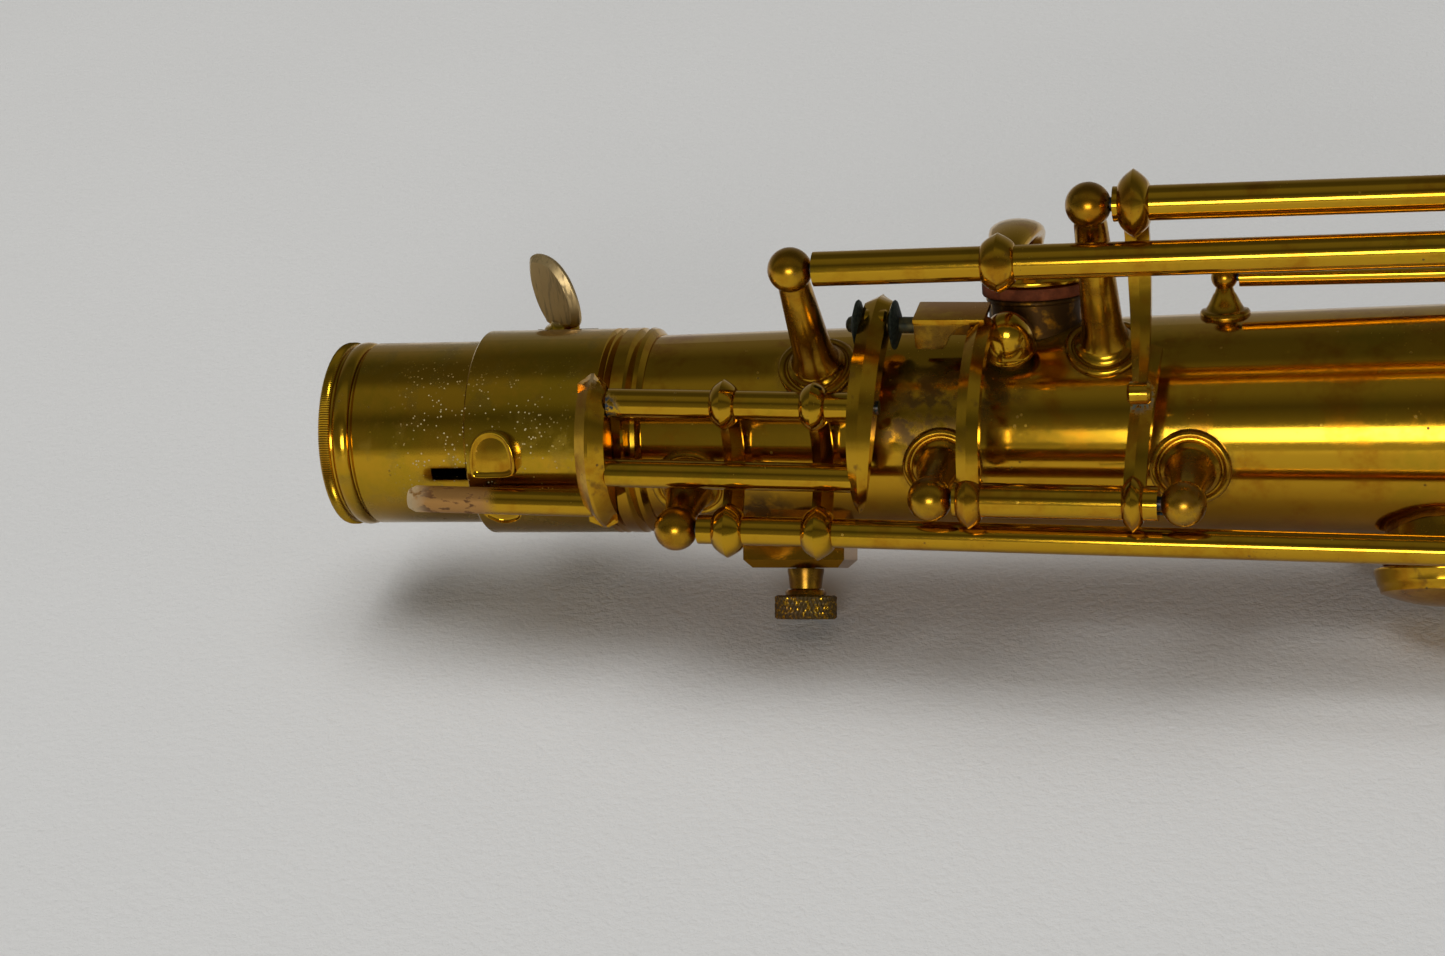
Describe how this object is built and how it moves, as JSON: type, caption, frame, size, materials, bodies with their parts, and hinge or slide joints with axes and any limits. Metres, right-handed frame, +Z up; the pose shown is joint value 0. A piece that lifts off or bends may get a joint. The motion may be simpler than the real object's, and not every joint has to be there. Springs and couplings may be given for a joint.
{
  "type": "saxophone upper body section",
  "caption": "Brass woodwind body top: conical tube, plugged neck receiver, octave mechanism, pad keys on hinge rods.",
  "frame": {"origin": "centre of the neck receiver's mouth, on the body tube's axis", "axes": "+X along the body tube away from the neck, +Z up as it lies, -Y towards the octave lever and rocker side"},
  "size_m": [0.1939, 0.0539, 0.0722],
  "materials": {
    "lacquered_brass": "aged clear lacquer over brass, glossy, with wear and dark spots",
    "blued_steel": "oiled dark steel",
    "pad_leather": "tan leather darkened by use",
    "dark_cork": "dark matte cork"
  },
  "bodies": {
    "body": {"body_tube": "lacquered_brass", "neck_receiver": "lacquered_brass", "receiver_rings": "lacquered_brass", "octave_pin_guide": "lacquered_brass", "lyre_block": "lacquered_brass", "octave_lever_upper_post": "lacquered_brass", "octave_lever_lower_post": "lacquered_brass", "octave_lever_hinge_rod": "blued_steel", "vent_key_upper_post": "lacquered_brass", "vent_key_lower_post": "lacquered_brass", "vent_key_hinge_rod": "blued_steel", "side_key_upper_post": "lacquered_brass", "side_key_lower_post": "lacquered_brass", "side_key_hinge_rod": "blued_steel", "link_rod_upper_post": "lacquered_brass", "link_rod_lower_post": "lacquered_brass", "link_rod_hinge_rod": "blued_steel", "thin_rod_upper_post": "lacquered_brass", "thin_rod_lower_post": "lacquered_brass", "thin_rod_hinge_rod": "blued_steel", "stack_key_upper_post": "lacquered_brass", "stack_key_lower_post": "lacquered_brass", "stack_key_hinge_rod": "blued_steel", "vent_pip": "lacquered_brass", "side_tone_hole": "lacquered_brass", "stack_tone_hole": "lacquered_brass"},
    "end_plug": {"end_plug_skirt": "lacquered_brass", "end_plug_head": "lacquered_brass"},
    "clamp_screw": {"receiver_thumbscrew": "lacquered_brass"},
    "lyre_thumbscrew": {"lyre_screw": "lacquered_brass"},
    "octave_lever": {"octave_lever_tube": "lacquered_brass", "octave_cradle_first_arm": "lacquered_brass", "octave_cradle_second_arm": "lacquered_brass", "octave_pivot_tube": "lacquered_brass"},
    "octave_rocker": {"octave_rocker_upper_plate": "lacquered_brass", "octave_rocker_lower_plate": "lacquered_brass", "octave_rocker_rod": "lacquered_brass", "octave_rocker_steel": "blued_steel", "octave_pin": "lacquered_brass", "octave_bumper_stub": "blued_steel", "octave_bumper_washers": "dark_cork"},
    "vent_key": {"vent_key_tube": "lacquered_brass", "vent_key_cup_arm": "lacquered_brass", "vent_key_press_arm": "lacquered_brass", "vent_key_channel": "lacquered_brass", "vent_key_cup": "lacquered_brass", "vent_key_pad": "pad_leather"},
    "side_key": {"side_key_tube": "lacquered_brass", "side_key_arm": "lacquered_brass", "side_key_cup": "lacquered_brass", "side_key_pad": "pad_leather"},
    "link_rod": {"link_rod_tube": "lacquered_brass", "link_rod_finger": "lacquered_brass"},
    "thin_rod": {"thin_rod_tube": "lacquered_brass"},
    "stack_key": {"stack_key_tube": "lacquered_brass", "stack_key_arm": "lacquered_brass", "stack_key_cup": "lacquered_brass", "stack_key_pad": "pad_leather"}
  },
  "joints": [
    {"name": "end_plug_slide", "type": "slide", "parent": "body", "child": "end_plug", "axis": [-1, 0, 0], "range_m": [0, 0.038]},
    {"name": "clamp_screw_turn", "type": "hinge", "parent": "body", "child": "clamp_screw", "pos_m": [0.007, 0.0189, 0], "axis": [0, 0, 1], "range_deg": [0, 180]},
    {"name": "lyre_screw_turn", "type": "hinge", "parent": "body", "child": "lyre_thumbscrew", "pos_m": [0.0491, 0, 0], "axis": [0, -0.5, -0.866], "range_deg": [0, 180]},
    {"name": "octave_lever_hinge", "type": "hinge", "parent": "body", "child": "octave_lever", "pos_m": [0.0342, -0.0251, -0.00335], "axis": [0.9995, -0.0234, -0.022], "range_deg": [0, 4], "stiffness_Nm_per_rad": 0.02, "springref_deg": -22.92},
    {"name": "octave_rocker_hinge", "type": "hinge", "parent": "octave_lever", "child": "octave_rocker", "pos_m": [0.03475, -0.01691, 0.01274], "axis": [0.9995, -0.0234, -0.022], "range_deg": [-8.7, 0], "stiffness_Nm_per_rad": 0.01, "springref_deg": 22.92},
    {"name": "link_rod_hinge", "type": "hinge", "parent": "body", "child": "link_rod", "pos_m": [0.0955, -0.0123, 0.0402], "axis": [1, 0, 0.006], "range_deg": [-1.6, 0], "stiffness_Nm_per_rad": 0.02, "springref_deg": 22.92},
    {"name": "vent_key_hinge", "type": "hinge", "parent": "body", "child": "vent_key", "pos_m": [0.0723, -0.0269, 0.0023], "axis": [0.9995, -0.03, -0.012], "range_deg": [0, 2.9], "stiffness_Nm_per_rad": 0.02, "springref_deg": -22.92},
    {"name": "side_key_hinge", "type": "hinge", "parent": "body", "child": "side_key", "pos_m": [0.0535, -0.0163, 0.0333], "axis": [0.9999, -0.004, 0.011], "range_deg": [0, 9], "stiffness_Nm_per_rad": 0.02, "springref_deg": -22.92},
    {"name": "thin_rod_hinge", "type": "hinge", "parent": "body", "child": "thin_rod", "pos_m": [0.112, 0.0052, 0.021], "axis": [1, 0, 0], "range_deg": [0, 8], "stiffness_Nm_per_rad": 0.02, "springref_deg": -22.92},
    {"name": "stack_key_hinge", "type": "hinge", "parent": "body", "child": "stack_key", "pos_m": [0.1295, 0.01174, -0.02207], "axis": [1, 0, 0], "range_deg": [0, 8], "stiffness_Nm_per_rad": 0.02, "springref_deg": -22.92}
  ],
  "couplings": [
    {"joint": "octave_rocker_hinge", "follows": "octave_lever_hinge", "ratio": -2.15},
    {"joint": "vent_key_hinge", "follows": "link_rod_hinge", "ratio": -1.8}
  ]
}
